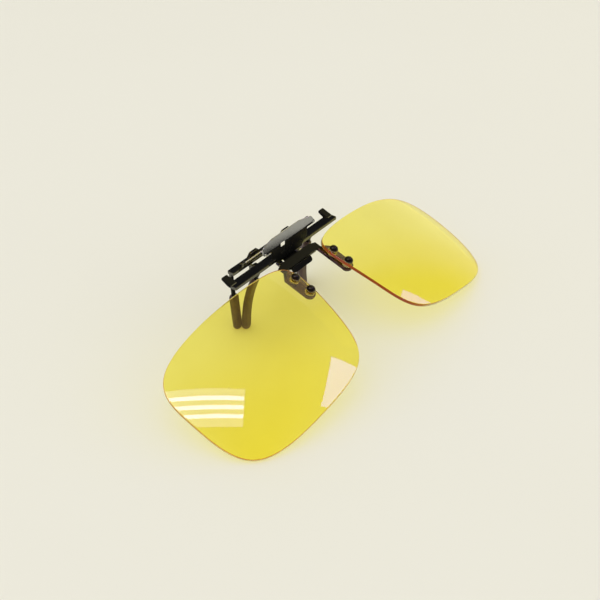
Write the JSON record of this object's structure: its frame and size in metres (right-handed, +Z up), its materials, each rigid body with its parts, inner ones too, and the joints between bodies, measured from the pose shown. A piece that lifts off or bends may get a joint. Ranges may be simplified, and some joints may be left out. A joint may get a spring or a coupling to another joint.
{
  "type": "flip-up night driving glasses",
  "caption": "Yellow night driving lenses on a sprung clamp that clips onto spectacles; the lenses flip up and down on a hinge in front of the clamp.",
  "frame": {"origin": "on the table, under the middle of the footprint", "axes": "+X along the clamp bar, -Y towards the lenses, +Z up off the table"},
  "size_m": [0.1332, 0.0515, 0.032],
  "materials": {
    "black_nickel": "black nickel mirror plating on stamped steel",
    "grip_nickel": "dark grey nickel mirror plating on sheet steel",
    "steel": "bright hinge pins",
    "spring_steel": "drawn spring wire and leaf",
    "silicone": "smoky translucent silicone",
    "yellow_lens": "polished clear yellow with a faint mirror coat",
    "clear_nylon": "milky clear nylon",
    "black_oxide": "polished black screws, nuts and rivets"
  },
  "bodies": {
    "clip": {"front_jaw": "black_nickel", "front_grip": "grip_nickel", "grip_rivets": "black_oxide", "sleeve_front_left": "silicone", "sleeve_front_right": "silicone", "hinge_bracket": "black_nickel", "flip_pin": "steel", "detent_leaf": "spring_steel"},
    "rear_clamp": {"rear_jaw": "black_nickel", "clamp_pin": "steel", "clamp_spring": "spring_steel", "sleeve_rear_left": "silicone", "sleeve_rear_right": "silicone"},
    "lens_frame": {"lens_carrier": "black_nickel", "left_lens": "yellow_lens", "right_lens": "yellow_lens", "left_lens_washers": "clear_nylon", "right_lens_washers": "clear_nylon", "left_lens_bushes": "clear_nylon", "right_lens_bushes": "clear_nylon", "left_lens_screws": "black_oxide", "right_lens_screws": "black_oxide", "left_lens_nuts": "black_oxide", "right_lens_nuts": "black_oxide"}
  },
  "joints": [
    {"name": "clamp_hinge", "type": "hinge", "parent": "clip", "child": "rear_clamp", "pos_m": [0, 0.0211, 0.022], "axis": [1, 0, 0], "range_deg": [0, 20], "stiffness_Nm_per_rad": 0.03, "springref_deg": -22.92},
    {"name": "lens_flip", "type": "hinge", "parent": "clip", "child": "lens_frame", "pos_m": [0, 0.014, 0.02155], "axis": [1, 0, 0], "range_deg": [-20, 68]}
  ]
}
